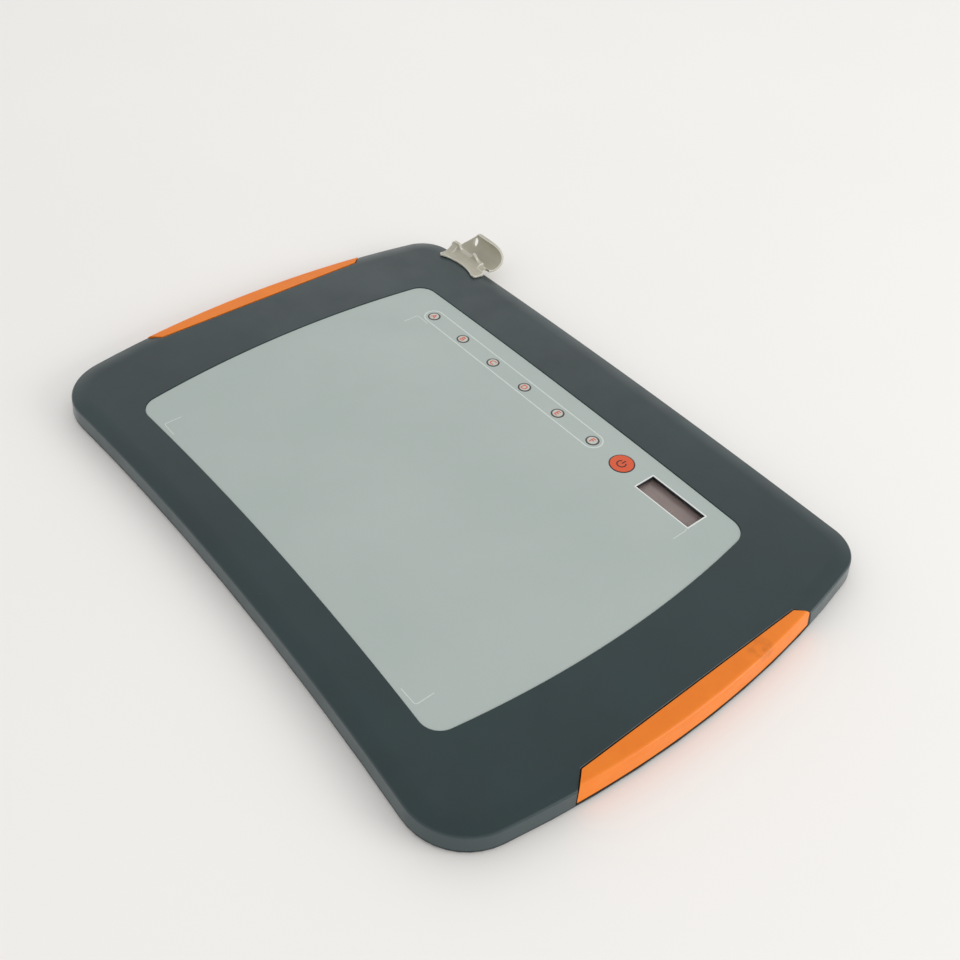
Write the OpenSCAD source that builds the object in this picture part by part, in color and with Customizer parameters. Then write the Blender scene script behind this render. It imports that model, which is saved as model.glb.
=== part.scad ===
// Wireless writing slate: a flat tablet with an A5 writing area, six answer keys, one large key, a
// small display, two soft end grips and a clip-on pen holder. Millimetres. It rests on Z = 0 with its
// writing face up. X runs along the long side and Y points to the edge that has the pen holder.

/* [Case] */
// Greatest length of the case, end to end
case_w = 347; // [340:0.1:356]
// Y of the back edge at the middle
back_y = 121.4; // [119:0.1:124]
// Y of the front edge at the middle, where it arches inwards
front_y = -115.8; // [-119:0.1:-114]
// Height of the writing side above the table
case_top = 12; // [12:0.1:13]
// How far the top falls from the flat middle to its rim
crown_h = 1.2; // [0.4:0.1:1.4]
// Width of the band in which it falls
crown_w = 8; // [6:0.5:10]
// Radius of the edge between the top and the side walls
rim_r = 1.3; // [0.8:0.1:1.6]
// Thickness of the side walls at the seam
wall = 2.4; // [2:0.1:2.6]

/* [Writing panel] */
// Length of the printed panel
panel_w = 255; // [250:1:260]
// Y of the panel's back edge at the middle
panel_back = 84.9; // [82:0.1:86]
// Y of the panel's front edge at the middle
panel_front = -91.5; // [-93:0.1:-90]
// Corner radius of the panel
panel_corner = 10; // [8:0.5:12]

/* [Keys] */
// Radius of the opening round an answer key
key_hole_r = 3.5; // [3:0.1:3.7]
// Distance between answer keys
key_pitch = 25.4; // [24:0.1:25.6]
// X of the first answer key
first_key_x = -93.5; // [-95:0.5:-92]
// Y of the row of keys
key_y = 69; // [68.5:0.1:69.5]
// X of the large key
main_key_x = 54; // [52:0.5:55]
// Radius of the opening round the large key
main_hole_r = 6.45; // [5.6:0.05:6.6]
// How far a key travels when pressed
key_travel = 0.45; // [0.3:0.05:0.45]

/* [Grips] */
// X of the straight inner edge of each grip
grip_x = 162.7; // [161.5:0.1:163.5]
// Length of that straight edge
grip_len = 123; // [110:1:126]
// Gap between a grip and its pocket
grip_gap = 0.5; // [0.3:0.05:0.6]
// Width of the rounded shoulder of a grip
grip_shoulder_w = 2.2; // [1.6:0.1:2.6]
// Drop of the rounded shoulder of a grip
grip_shoulder_h = 1.7; // [1.2:0.1:2.2]

/* [Pen holder] */
// X of the middle of the pen holder
holder_x = -125.5; // [-128:0.5:-120]
// Radius of the pen cradle
cradle_r = 6.6; // [5.5:0.1:6.8]

/* [Hidden] */
$fn = 48;
eps = 0.01;                 // overlap that keeps cuts clean
slack = 0.15;               // gap round each part that moves

// Plan of the case: four shallow arcs and four round corners
end_arc = 500;              // radius of the ends
back_arc = 4300;            // radius of the back edge
front_arc = 1830;           // radius of the front edge, which is hollow
back_corner = 20;
front_corner = 29;
plan_steps = 10;            // points on each arc of a plan
crown_steps = 4;

// Heights, from the table up
foot_h = 1;                 // the feet stand this far below the cover
seam_z = 2.2;               // where the two halves of the case meet
floor_z = 3;                // inside face of the cover
roof_z = 9.5;               // inside face of the top housing
draft = 0.8;                // the side walls lean in by this much up to the rim
cover_step = 0.05;          // the cover's side is set in by this much
cover_edge = 0.25;          // and its lowest edge by this much more
tray_z = case_top - 1;      // floor of the recess that holds the printed overlay
overlay_z = tray_z + 0.6;   // writing surface
board_t = 1.6;
digitizer_z = roof_z - board_t;
shield_z = digitizer_z - 0.5;
board_z = 6.7;              // underside of the main board
board_top = board_z + board_t;

// Keys
key_count = 6;
key_gap = 0.15;             // round each key
dome_h = 0.4;
flange_z = board_top + dome_h + key_travel + slack; // underside of a key's retaining flange
flange_t = 0.6;
flange_extra = 1.3;         // the flange is this much wider than the key
key_top = overlay_z + 0.05;
pocket_z = flange_z + flange_t + 0.1;

// Display
lcd_x = [68.4, 102.9];
lcd_y = [62.5, 75.7];
lcd_rim = 0.7;              // width of the white frame
lcd_glass_z = roof_z - 0.8;

// Battery and its sliding door
door_x = [-48, 50];
door_y = 86;                // inner end of the door
door_top = 2.85;
door_tongue = 2;            // the door's side tongues run this far into their grooves
lip_z = 1.8;                // top of the lips that carry the tongues
rail_top = 4;
battery_z = floor_z;
battery_h = 5.3;

// Sockets and switch in the back edge
socket_x = 84;
switch_x = 108;
switch_z = 4.9;
slider_travel = 3;

// Grips
grip_y = 2;                 // middle of the grips
grip_slant = 1.15;          // slope of the cut at each end of a grip
grip_sink = 0.5;            // the foot of a grip is set in by this much from the cover
grip_lean = 0.8;            // and its side leans in by this much more
pocket_wall = 1.8;          // housing wall behind a grip
peg_y = [-40, 2, 44];
peg_r = 1.5;
peg_z = 6;

// Pen holder
cradle_wall = 1.6;
cradle_y = 127.5;           // axis of the cradle, which runs along X
cradle_z = 16.4;
holder_side = [-20, 14];    // ends of the cradle, from holder_x
far_r = 11.6;               // rounding of the right-hand end of the far wall
near_r = 11.6;              // and of the near wall
notch_r = 6.6;              // dip in the near wall
near_y = 124;               // the near wall's outline rules up to here
saddle_edge_r = 1.6;        // rounding of the saddle's four corners
saddle_front_r = 30;        // hollow of its front edge
spine_t = 1.8;
spine_z = [3.6, 13.4];
spine_x = [-12, 7.5];
spine_y = 120.2;            // face that meets the back edge
tongue_half = 10;
tongue_z = [5, 7.6];
tongue_y = 111;

// Fasteners
case_screw_at = [for (x = [-148, 148], y = [-97, 95]) [x, y], for (x = [-52, 52]) [x, -108],
    [-84, 106], [144, 30], [-144, 30]];
board_screw_at = [[-103, 79], [30, 79], [72, 110], [121, 110]];
boss_r = 3.4;
screw_r = 1.25;
head_r = 2.5;
foot_at = [[0, 0], [0, -104], for (x = [-138, 138], y = [-104, 105]) [x, y], [-68, 108],
    [68, 108]];
foot_r = 5.5;

// Point at distance d1 from c1 and d2 from c2, taken on the side of larger X
function meet(c1, d1, c2, d2) = let (v = c2 - c1, d = norm(v), a = (d1 * d1 - d2 * d2 + d * d) / (2 * d),
    h = sqrt(d1 * d1 - a * a), u = v / d, p = c1 + a * u,
    q1 = p + h * [-u[1], u[0]], q2 = p - h * [-u[1], u[0]]) q1[0] > q2[0] ? q1 : q2;

function bearing(from, to) = atan2(to[1] - from[1], to[0] - from[0]);

function arc(c, r, a0, a1) = [for (i = [0 : plan_steps - 1])
    let (a = a0 + (a1 - a0) * i / plan_steps) c + r * [cos(a), sin(a)]];

// Half of a plan with curved edges, on the side of larger X, from front to back
function half_plan(half_w, front, back, r_front, r_back, inset) = let (
    c_end = [half_w - end_arc, 0], c_back = [0, back - back_arc], c_front = [0, front - front_arc],
    k_back = meet(c_end, end_arc - r_back, c_back, back_arc - r_back),
    k_front = meet(c_end, end_arc - r_front, c_front, front_arc + r_front),
    a_mid = bearing(c_end, k_front), b_mid = bearing(c_end, k_back)) concat(
    arc(c_front, front_arc + inset, 90, bearing(c_front, k_front)),
    arc(k_front, r_front - inset, bearing(k_front, c_front), a_mid),
    arc(c_end, end_arc - inset, a_mid, b_mid),
    arc(k_back, r_back - inset, b_mid, bearing(c_back, k_back)),
    arc(c_back, back_arc - inset, bearing(c_back, k_back), 90),
    [[0, back - inset]]);

function flip(p) = [for (i = [len(p) - 2 : -1 : 1]) [-p[i][0], p[i][1]]];
function whole_plan(half) = concat(half, flip(half));
function case_plan(inset = 0) = whole_plan(
    half_plan(case_w / 2, front_y, back_y, front_corner, back_corner, inset));
function panel_plan(inset = 0) = whole_plan(
    half_plan(panel_w / 2, panel_front, panel_back, panel_corner, panel_corner, inset));

// Solid through a stack of case plans: each level is [height, inset]
module case_stack(levels) {
    rings = [for (v = levels) [for (p = case_plan(v[1])) [p[0], p[1], v[0]]]];
    n = len(rings[0]);
    m = len(rings);
    polyhedron([for (r = rings) each r], concat(
        [[for (i = [n - 1 : -1 : 0]) n - 1 - i]],
        [[for (i = [n - 1 : -1 : 0]) (m - 1) * n + i]],
        [for (k = [0 : m - 2], i = [0 : n - 1]) let (j = (i + 1) % n)
            [k * n + i, (k + 1) * n + i, (k + 1) * n + j, k * n + j]]));
}

// Levels of a rounded edge of width w and drop h that starts at inset i and ends at height z
function rounded_edge(w, h, z, i) = [for (t = [0 : 15 : 90])
    [z - h * (1 - sin(t)), i + w * (1 - cos(t))]];

// Levels of the outside of the case above its foot, grown by g: leaning wall, rim and crown
function case_levels(g = 0) = [for (v = concat([[seam_z + 0.4, 0]],
    rounded_edge(rim_r, rim_r, case_top - crown_h, draft),
    [for (k = [1 : crown_steps]) [case_top - crown_h * pow(1 - k / crown_steps, 2),
        draft + rim_r + crown_w * k / crown_steps]])) [v[0] + g, v[1] - g]];

module box(x, y, z) {
    translate([x[0], y[0], z[0]]) cube([x[1] - x[0], y[1] - y[0], z[1] - z[0]]);
}

module rod(at, r, z) {
    translate([at[0], at[1], z[0]]) cylinder(h = z[1] - z[0], r = r);
}

// Plan of a grip on the side of larger X, grown by g
module grip_plan(g) {
    reach = case_w / 2 + 6 - grip_x;
    half = grip_len / 2 + g * 0.6;
    translate([grip_x, grip_y]) polygon([[-g, -half], [reach, -half - grip_slant * reach],
        [reach, half + grip_slant * reach], [-g, half]]);
}

module both_ends() {
    children();
    mirror([1, 0, 0]) children();
}

function key_x(i) = first_key_x + i * key_pitch;

// ---- case ----

module top_housing() {
    color([0.21, 0.26, 0.28]) difference() {
        union() {
            difference() {
                case_stack(concat([[seam_z, 0.35]], case_levels()));
                translate([0, 0, seam_z - 1]) linear_extrude(roof_z - seam_z + 1) difference() {
                    polygon(case_plan(wall));
                    both_ends() grip_plan(grip_gap + pocket_wall);
                }
            }
            for (p = case_screw_at) rod(p, boss_r, [floor_z, roof_z + eps]);
            for (p = board_screw_at) rod(p, 2.4, [board_top, roof_z + eps]);
        }
        translate([0, 0, tray_z]) linear_extrude(2) polygon(panel_plan(0));
        both_ends() translate([0, 0, seam_z - 1]) linear_extrude(case_top) grip_plan(grip_gap);
        both_ends() for (y = peg_y) translate([grip_x - 5, y, peg_z]) rotate([0, 90, 0])
            cylinder(h = 6, r = peg_r + 0.1);
        for (i = [0 : key_count - 1]) key_well([key_x(i), key_y], key_hole_r);
        key_well([main_key_x, key_y], main_hole_r);
        box(lcd_x, lcd_y, [roof_z - 1, case_top]);
        for (p = case_screw_at) rod(p, screw_r + 0.05, [floor_z - 1, 8.6]);
        for (p = board_screw_at) rod(p, 0.85, [board_top - 1, 10.2]);
        box([door_x[0] - door_tongue - 0.3, door_x[1] + door_tongue + 0.3],
            [back_y - 6, back_y + 2], [seam_z - 1, door_top + slack]);
        box([socket_x - 4.2, socket_x + 4.2], [back_y - 6, back_y + 2], [4.4, 8.7]);
        box([switch_x - 3.1, switch_x + 3.1], [back_y - 6, back_y + 2], [switch_z - 1, switch_z + 1]);
        box([holder_x - tongue_half - 0.2, holder_x + tongue_half + 0.2], [back_y - 6, back_y + 2],
            [tongue_z[0] - slack, tongue_z[1] + slack]);
    }
}

// Opening for a key, with a wider pocket below for its flange
module key_well(at, r) {
    rod(at, r, [roof_z - 1, case_top]);
    rod(at, r + flange_extra + 0.1, [roof_z - 1, pocket_z]);
}

// Outer layers of the cover, up to height top; the lowest is set in as a chamfer
module cover_layers(top) {
    translate([0, 0, foot_h]) linear_extrude(top - foot_h) polygon(case_plan(cover_step + cover_edge));
    translate([0, 0, foot_h + 0.4]) linear_extrude(top - foot_h - 0.4) polygon(case_plan(cover_step));
}

module rear_cover() {
    color([0.16, 0.19, 0.2]) difference() {
        union() {
            cover_layers(seam_z);
            translate([0, 0, foot_h]) linear_extrude(floor_z - foot_h) difference() {
                polygon(case_plan(wall + 0.1));
                both_ends() grip_plan(grip_gap + pocket_wall + 0.1);
            }
            for (x = door_x) box([x - 5, x + 5], [door_y - 3, back_y - 4], [foot_h, rail_top]);
            for (y = [-82, -44, -6, 32]) box([-104, 104], [y, y + 1.2], [foot_h, shield_z]);
            for (x = [-91 : 45 : 91]) box([x, x + 1.2], [-92, 54], [foot_h, shield_z]);
        }
        // battery door: the opening and the grooves for its tongues
        box([door_x[0] - 0.2, door_x[1] + 0.2], [door_y - 0.2, back_y + 2], [0, rail_top + 1]);
        box([door_x[0] - door_tongue - 0.2, door_x[1] + door_tongue + 0.2], [door_y - 0.2, back_y + 2],
            [lip_z, floor_z]);
        for (p = case_screw_at) {
            rod(p, screw_r + 0.25, [0, floor_z + 1]);
            rod(p, head_r + 0.2, [0, foot_h + 1]);
        }
        for (p = foot_at) rod(p, foot_r + 0.1, [0, foot_h + 0.4]);
    }
}

module face_overlay() {
    color([0.69, 0.73, 0.71]) difference() {
        translate([0, 0, tray_z]) linear_extrude(overlay_z - tray_z) polygon(panel_plan(0.2));
        for (i = [0 : key_count - 1]) rod([key_x(i), key_y], key_hole_r, [tray_z - 1, case_top]);
        rod([main_key_x, key_y], main_hole_r, [tray_z - 1, case_top]);
        box(lcd_x, lcd_y, [tray_z - 1, case_top]);
    }
}

// ---- writing sensor ----

module digitizer_board() {
    color([0.1, 0.35, 0.2]) box([-112, 112], [-97, 61], [digitizer_z, roof_z]);
}

module shield_plate() {
    color("silver") difference() {
        box([-114, 114], [-99, 60], [shield_z, digitizer_z]);
        box([-34, -6], [48, 62], [shield_z - 1, digitizer_z + 1]);
    }
}

module digitizer_ribbon() {
    color("sandybrown") union() {
        box([-30, -10], [50, 59], [digitizer_z - 0.3, digitizer_z]);
        box([-30, -10], [58.6, 59], [board_z - 0.3, digitizer_z]);
        box([-30, -10], [58.6, 71], [board_z - 0.3, board_z]);
    }
}

// ---- electronics ----

module main_board() {
    color([0.1, 0.4, 0.22]) difference() {
        union() {
            box([-108, 124], [63.5, 83.5], [board_z, board_top]);
            box([66, 124], [63.5, 116], [board_z, board_top]);
        }
        box([lcd_x[0] - 3, lcd_x[1] + 3], [lcd_y[0] - 1, lcd_y[1] + 2.4], [board_z - 1, board_top + 1]);
        box([socket_x - 3.95, socket_x + 3.95], [108.4, 117], [board_z - 1, board_top + 1]);
        for (p = board_screw_at) rod(p, 1, [board_z - 1, board_top + 1]);
    }
}

module processor_chip() {
    color("dimgray") box([28, 42], [64.5, 76], [board_z - 1.3, board_z]);
}

module memory_chip() {
    color("dimgray") box([8, 18], [66, 74], [board_z - 1.1, board_z]);
}

module crystal_can() {
    color("silver") translate([50, 70, board_z - 1.6]) linear_extrude(1.6) union() {
        for (y = [-3.4, 3.4]) translate([0, y]) circle(r = 2);
        square([4, 6.8], center = true);
    }
}

module radio_module() {
    color("silver") box([94, 116], [83, 99], [board_z - 2, board_z]);
}

module antenna_cable() {
    color("black") union() {
        translate([116, 91, board_z - 1]) rotate([0, 90, 0]) cylinder(h = 18, r = 0.6);
        translate([134, 91, board_z - 1]) sphere(r = 0.6);
        rod([134, 91], 0.6, [board_z - 1, 8.5]);
    }
}

module antenna_board() {
    color([0.1, 0.4, 0.22]) box([128, 142], [82, 104], [8.5, roof_z]);
}

module key_domes() {
    color("gainsboro") union() {
        for (i = [0 : key_count - 1]) dome([key_x(i), key_y], 2.5);
        dome([main_key_x, key_y], 4);
    }
}

module dome(at, r) {
    translate([at[0], at[1], board_top]) cylinder(h = dome_h, r1 = r, r2 = r * 0.4);
}

module board_screws() {
    color("silver") for (p = board_screw_at) union() {
        rod(p, 0.8, [board_z - eps, 10]);
        rod(p, 1.8, [board_z - 1, board_z]);
    }
}

// ---- display ----

module lcd_module() {
    color("darkslategray") box([lcd_x[0] - 2.5, lcd_x[1] + 2.5], [lcd_y[0] - 0.6, lcd_y[1] + 2],
        [board_z - 0.2, lcd_glass_z - 0.1]);
}

module lcd_ribbon() {
    color("sandybrown") box([78, 94], [74, 80], [board_z - 0.5, board_z - 0.2]);
}

module lcd_window() {
    color([0.5, 0.45, 0.43, 0.6]) box([lcd_x[0] - 1.6, lcd_x[1] + 1.6], [lcd_y[0] - 0.6, lcd_y[1] + 1.5],
        [lcd_glass_z, roof_z]);
}

module lcd_frame() {
    color("white") difference() {
        box([lcd_x[0] + 0.05, lcd_x[1] - 0.05], [lcd_y[0] + 0.05, lcd_y[1] - 0.05],
            [roof_z, overlay_z + 0.1]);
        box([lcd_x[0] + lcd_rim, lcd_x[1] - lcd_rim], [lcd_y[0] + lcd_rim, lcd_y[1] - lcd_rim],
            [roof_z - 1, case_top]);
    }
}

// ---- keys ----

module push_key(at, hole_r) {
    rod(at, hole_r - key_gap, [flange_z, key_top]);
    rod(at, hole_r - key_gap + flange_extra, [flange_z, flange_z + flange_t]);
}

module letter_key(i) {
    color([0.84, 0.35, 0.22]) push_key([key_x(i), key_y], key_hole_r);
}

module key_a() { letter_key(0); }
module key_b() { letter_key(1); }
module key_c() { letter_key(2); }
module key_d() { letter_key(3); }
module key_e() { letter_key(4); }
module key_f() { letter_key(5); }

module main_key() {
    color([0.84, 0.33, 0.18]) push_key([main_key_x, key_y], main_hole_r);
}

// ---- power ----

module battery_pack() {
    color("royalblue") box([-44, 46], [88, 115], [battery_z, battery_z + battery_h]);
}

module battery_pads() {
    color("dimgray") union() {
        for (x = [-36, 30]) box([x, x + 8], [90, 113], [battery_z + battery_h, roof_z]);
    }
}

module battery_cable() {
    color("firebrick") union() {
        for (y = [100, 103]) translate([46, y, 6]) rotate([0, 90, 0]) cylinder(h = 14, r = 0.7);
    }
}

module battery_plug() {
    color("ivory") box([60, 67], [97.5, 105.5], [board_z - 2.6, board_z]);
}

module battery_door() {
    color([0.16, 0.19, 0.2]) difference() {
        intersection() {
            union() {
                box(door_x, [door_y, back_y + 1], [0, door_top]);
                box([door_x[0] - door_tongue, door_x[1] + door_tongue], [door_y, back_y + 1],
                    [lip_z + slack, door_top]);
            }
            cover_layers(door_top);
        }
        for (i = [0 : 3]) box([-8, 10], [106 + i * 2.4, 107 + i * 2.4], [0, foot_h + 0.4]);
    }
}

module charge_socket() {
    color("silver") difference() {
        box([socket_x - 3.85, socket_x + 3.85], [108.6, 118.4], [4.6, 8.5]);
        box([socket_x - 3.45, socket_x + 3.45], [110.6, 119], [5, 8.1]);
    }
}

module power_switch() {
    color("black") difference() {
        box([switch_x - 5, switch_x + 5], [110, 116], [switch_z - 1.7, board_z]);
        box([switch_x - 3.2, switch_x + 3.2], [113, 117], [switch_z - 1, switch_z + 1]);
    }
}

module power_slider() {
    rest_x = switch_x - slider_travel / 2;
    color("black") union() {
        box([rest_x - 1.2, rest_x + 1.2], [113.4, back_y - 0.3], [switch_z - 0.8, switch_z + 0.8]);
        box([rest_x - 3.4, rest_x + 3.4], [back_y - 1.05, back_y - 0.1], [switch_z - 1.5, switch_z + 1.5]);
    }
}

// ---- outside fittings ----

module end_grip() {
    color([0.98, 0.51, 0.18]) union() {
        intersection() {
            case_stack(concat([[seam_z + 0.15, grip_sink + 0.25], [seam_z + 0.5, grip_sink]],
                rounded_edge(grip_shoulder_w, grip_shoulder_h, case_top, grip_sink + grip_lean)));
            linear_extrude(case_top + 1) grip_plan(0);
        }
        for (y = peg_y) translate([grip_x - 1.9, y, peg_z]) rotate([0, 90, 0])
            cylinder(h = 3, r = peg_r);
    }
}

module right_grip() { end_grip(); }
module left_grip() { mirror([1, 0, 0]) end_grip(); }

module pen_holder() {
    color([0.78, 0.78, 0.74]) translate([holder_x, 0, 0]) difference() {
        union() {
            holder_saddle();
            holder_cradle();
            box(spine_x, [spine_y, spine_y + spine_t], spine_z);
            box([-tongue_half, tongue_half], [tongue_y, spine_y + eps], tongue_z);
        }
        // slot for the pen's cord
        across(cradle_y, 20) for (z = [-1.1, 1.1]) translate([-11.1, 14 + z]) circle(r = 1.5);
        box([-12.6, -9.6], [cradle_y, cradle_y + 20], [12.9, 15.1]);
    }
}

// Prism of a drawing in Y and Z, from x to x + depth
module sideways(x, depth) {
    translate([x, 0, 0]) rotate([90, 0, 90]) linear_extrude(depth) children();
}

// Prism of a drawing in X and Z, from y to y + depth
module across(y, depth) {
    translate([0, y + depth, 0]) rotate([90, 0, 0]) linear_extrude(depth) children();
}

// Plate that lies on the case: a foot at each end, a hollow front edge and a neck to the spine
module holder_saddle() {
    difference() {
        union() {
            intersection() {
                translate([0, 0, 8]) linear_extrude(12) difference() {
                    union() {
                        hull() for (p = [[-13.5, 110.4], [15.2, 111.5], [15.5, 115.6], [-13.5, 116]])
                            translate(p) circle(r = saddle_edge_r, $fn = 32);
                        translate([spine_x[0], 113]) square([spine_x[1] - spine_x[0], 12]);
                    }
                    translate([1, 82.5]) circle(r = saddle_front_r, $fn = 96);
                }
                sideways(-30, 60) polygon([[108, 8], [108, 13.5], [110.4, 13.5], [112, 13.2],
                    [115, 13.3], [117.5, 13.8], [119.4, 14.8], [spine_y + spine_t, 14.8], [spine_y + spine_t, 8]]);
            }
            // cheek that carries the wing of the near wall
            sideways(-15.1, 4.6) polygon([[111.5, 11], [111.5, 12.6], [116, 14.2], [120, 17.2],
                [122, 17.2], [122, 11]]);
        }
        translate([-holder_x, 0, 0]) case_stack(concat([[0, -slack]], case_levels(slack)));
    }
}

// Trough for the pen, along X. The far wall is high with a round end; the near wall is lower and
// dips between a wing and a peak.
module holder_cradle() {
    intersection() {
        translate([0, cradle_y, cradle_z])
            sideways(holder_side[0], holder_side[1] - holder_side[0]) difference() {
                circle(r = cradle_r + cradle_wall, $fn = 64);
                circle(r = cradle_r, $fn = 64);
                polygon([[0, 0], 20 * [cos(76), sin(76)], 20 * [0, 1], 20 * [cos(162), sin(162)]]);
            }
        union() {
            across(near_y, 14) hull() {
                translate([2, 10.6]) circle(r = far_r, $fn = 64);
                translate([-4, 13.6]) circle(r = 8.4, $fn = 32);
                translate([-16, 8.6]) circle(r = 3.4, $fn = 32);
            }
            across(near_y - 6, 6 + eps) difference() {
                hull() {
                    translate([-0.5, 7.5]) circle(r = near_r, $fn = 64);
                    translate([-13, 14]) circle(r = 4, $fn = 32);
                    translate([-13, 6]) circle(r = 3, $fn = 32);
                }
                translate([-3.2, 20.4]) circle(r = notch_r);
            }
        }
    }
}

module case_screws() {
    color("dimgray") for (p = case_screw_at) difference() {
        union() {
            rod(p, screw_r, [foot_h + 0.2, 8.4]);
            rod(p, head_r, [foot_h + 0.2, foot_h + 1]);
        }
        for (a = [0, 90]) translate([p[0], p[1], foot_h + 0.2]) rotate([0, 0, a])
            cube([3, 0.6, 1], center = true);
    }
}

module rubber_feet() {
    color("black") for (p = foot_at) rod(p, foot_r, [0, foot_h + 0.4]);
}

top_housing();
rear_cover();
face_overlay();
digitizer_board();
shield_plate();
digitizer_ribbon();
main_board();
processor_chip();
memory_chip();
crystal_can();
radio_module();
antenna_cable();
antenna_board();
key_domes();
lcd_module();
lcd_ribbon();
lcd_window();
lcd_frame();
key_a();
key_b();
key_c();
key_d();
key_e();
key_f();
main_key();
battery_pack();
battery_pads();
battery_cable();
battery_plug();
battery_door();
charge_socket();
power_switch();
power_slider();
left_grip();
right_grip();
pen_holder();
case_screws();
board_screws();
rubber_feet();
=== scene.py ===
"""Looks of a wireless writing slate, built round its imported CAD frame.

Lengths below are millimetres in the CAD frame; make() turns them into metres.
"""

from math import acos, atan2, cos, hypot, pi, radians, sin, sqrt, tan

import bmesh
import bpy
from mathutils import Matrix, Vector


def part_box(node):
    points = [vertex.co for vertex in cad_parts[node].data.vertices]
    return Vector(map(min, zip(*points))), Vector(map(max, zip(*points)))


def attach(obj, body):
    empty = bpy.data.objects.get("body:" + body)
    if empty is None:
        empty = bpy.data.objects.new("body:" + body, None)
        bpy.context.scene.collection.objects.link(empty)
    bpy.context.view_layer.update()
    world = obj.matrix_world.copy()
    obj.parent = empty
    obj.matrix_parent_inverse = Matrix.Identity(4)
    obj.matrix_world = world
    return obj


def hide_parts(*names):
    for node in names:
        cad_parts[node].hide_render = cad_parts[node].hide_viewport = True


MM = 0.001
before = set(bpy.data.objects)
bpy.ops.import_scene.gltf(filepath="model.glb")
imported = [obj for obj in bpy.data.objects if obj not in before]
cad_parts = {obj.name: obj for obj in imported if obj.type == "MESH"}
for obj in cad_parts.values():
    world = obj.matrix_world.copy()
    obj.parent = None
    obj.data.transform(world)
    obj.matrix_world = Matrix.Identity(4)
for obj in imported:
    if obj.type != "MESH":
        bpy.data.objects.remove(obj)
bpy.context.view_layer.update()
scene = bpy.context.scene


def span(node):
    """Lowest and highest corner of a CAD node, in millimetres."""
    lo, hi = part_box(node)
    return lo / MM, hi / MM


# ---- camera: the same for every run, in metres ----

camera = bpy.data.objects.new("camera", bpy.data.cameras.new("camera"))
scene.collection.objects.link(camera)
scene.camera = camera
camera.data.lens = 40.27
camera.data.sensor_width = 36
camera.data.clip_start = 0.01
camera.data.clip_end = 20
side = Vector((0.6329, 0.7729, 0.0452))
back = Vector((0.5346, -0.4784, 0.6966))
rise = back.cross(side).normalized()
side = rise.cross(back).normalized()
back.normalize()
turn = Matrix((side, rise, back)).transposed().to_4x4()
camera.matrix_world = Matrix.Translation((0.2907, -0.2333, 0.3617)) @ turn


# ---- plan curves, as in the CAD source ----

HALF_W = span("rear_cover")[1].x + 0.05
SEAM_Z = span("top_housing")[0].z
CASE_TOP = span("top_housing")[1].z
CASE_BACK = span("top_housing")[1].y
CASE_FRONT = -115.8  # middle of the hollow front edge
PANEL_HALF = span("face_overlay")[1].x + 0.2
PANEL_BACK = span("face_overlay")[1].y + 0.2
PANEL_FRONT = -91.5
END_ARC, BACK_ARC, FRONT_ARC = 500, 4300, 1830
BACK_CORNER, FRONT_CORNER, PANEL_CORNER = 20, 29, 10
DRAFT, RIM_R, CROWN_H, CROWN_W = 0.8, 1.3, 1.2, 8.0
CROWN_STEPS = 8
OVERLAY_TOP = span("face_overlay")[1].z
TRAY_Z = span("face_overlay")[0].z
HOLDER_X = -125.5  # middle of the holder's tongue, which isn't the middle of its box


def meet(c1, d1, c2, d2):
    """Point at distance d1 from c1 and d2 from c2, on the side of larger X."""
    vx, vy = c2[0] - c1[0], c2[1] - c1[1]
    d = hypot(vx, vy)
    a = (d1 * d1 - d2 * d2 + d * d) / (2 * d)
    h = sqrt(d1 * d1 - a * a)
    ux, uy = vx / d, vy / d
    px, py = c1[0] + a * ux, c1[1] + a * uy
    return max((px - h * uy, py + h * ux), (px + h * uy, py - h * ux))


def bearing(start, end):
    return atan2(end[1] - start[1], end[0] - start[0])


def arc(c, r, a0, a1, n):
    """Points from angle a0 towards a1, without the last one."""
    angles = [a0 + (a1 - a0) * i / n for i in range(n)]
    return [(c[0] + r * cos(a), c[1] + r * sin(a)) for a in angles]


def curved_plan(half_w, front, back, r_front, r_back, inset, long=36, corner=20):
    """Closed outline, anticlockwise, set in from the full size by inset."""
    c_end, c_back, c_front = (half_w - END_ARC, 0), (0, back - BACK_ARC), (0, front - FRONT_ARC)
    k_back = meet(c_end, END_ARC - r_back, c_back, BACK_ARC - r_back)
    k_front = meet(c_end, END_ARC - r_front, c_front, FRONT_ARC + r_front)
    a_mid, b_mid = bearing(c_end, k_front), bearing(c_end, k_back)
    half = (
        arc(c_front, FRONT_ARC + inset, pi / 2, bearing(c_front, k_front), long)
        + arc(k_front, r_front - inset, bearing(k_front, c_front), a_mid, corner)
        + arc(c_end, END_ARC - inset, a_mid, b_mid, long)
        + arc(k_back, r_back - inset, b_mid, bearing(c_back, k_back), corner)
        + arc(c_back, BACK_ARC - inset, bearing(c_back, k_back), pi / 2, long)
        + [(0, back - inset)]
    )
    return half + [(-x, y) for x, y in half[-2:0:-1]]


def case_plan(inset=0):
    return curved_plan(HALF_W, CASE_FRONT, CASE_BACK, FRONT_CORNER, BACK_CORNER, inset)


def panel_plan(inset=0):
    return curved_plan(PANEL_HALF, PANEL_FRONT, PANEL_BACK, PANEL_CORNER, PANEL_CORNER, inset)


def rounded_edge(w, h, z, inset, n=8):
    """Levels of a rounded edge of width w and drop h that starts at inset and ends at height z."""
    angles = [pi / 2 * i / n for i in range(n + 1)]
    return [(z - h * (1 - sin(a)), inset + w * (1 - cos(a))) for a in angles]


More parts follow.
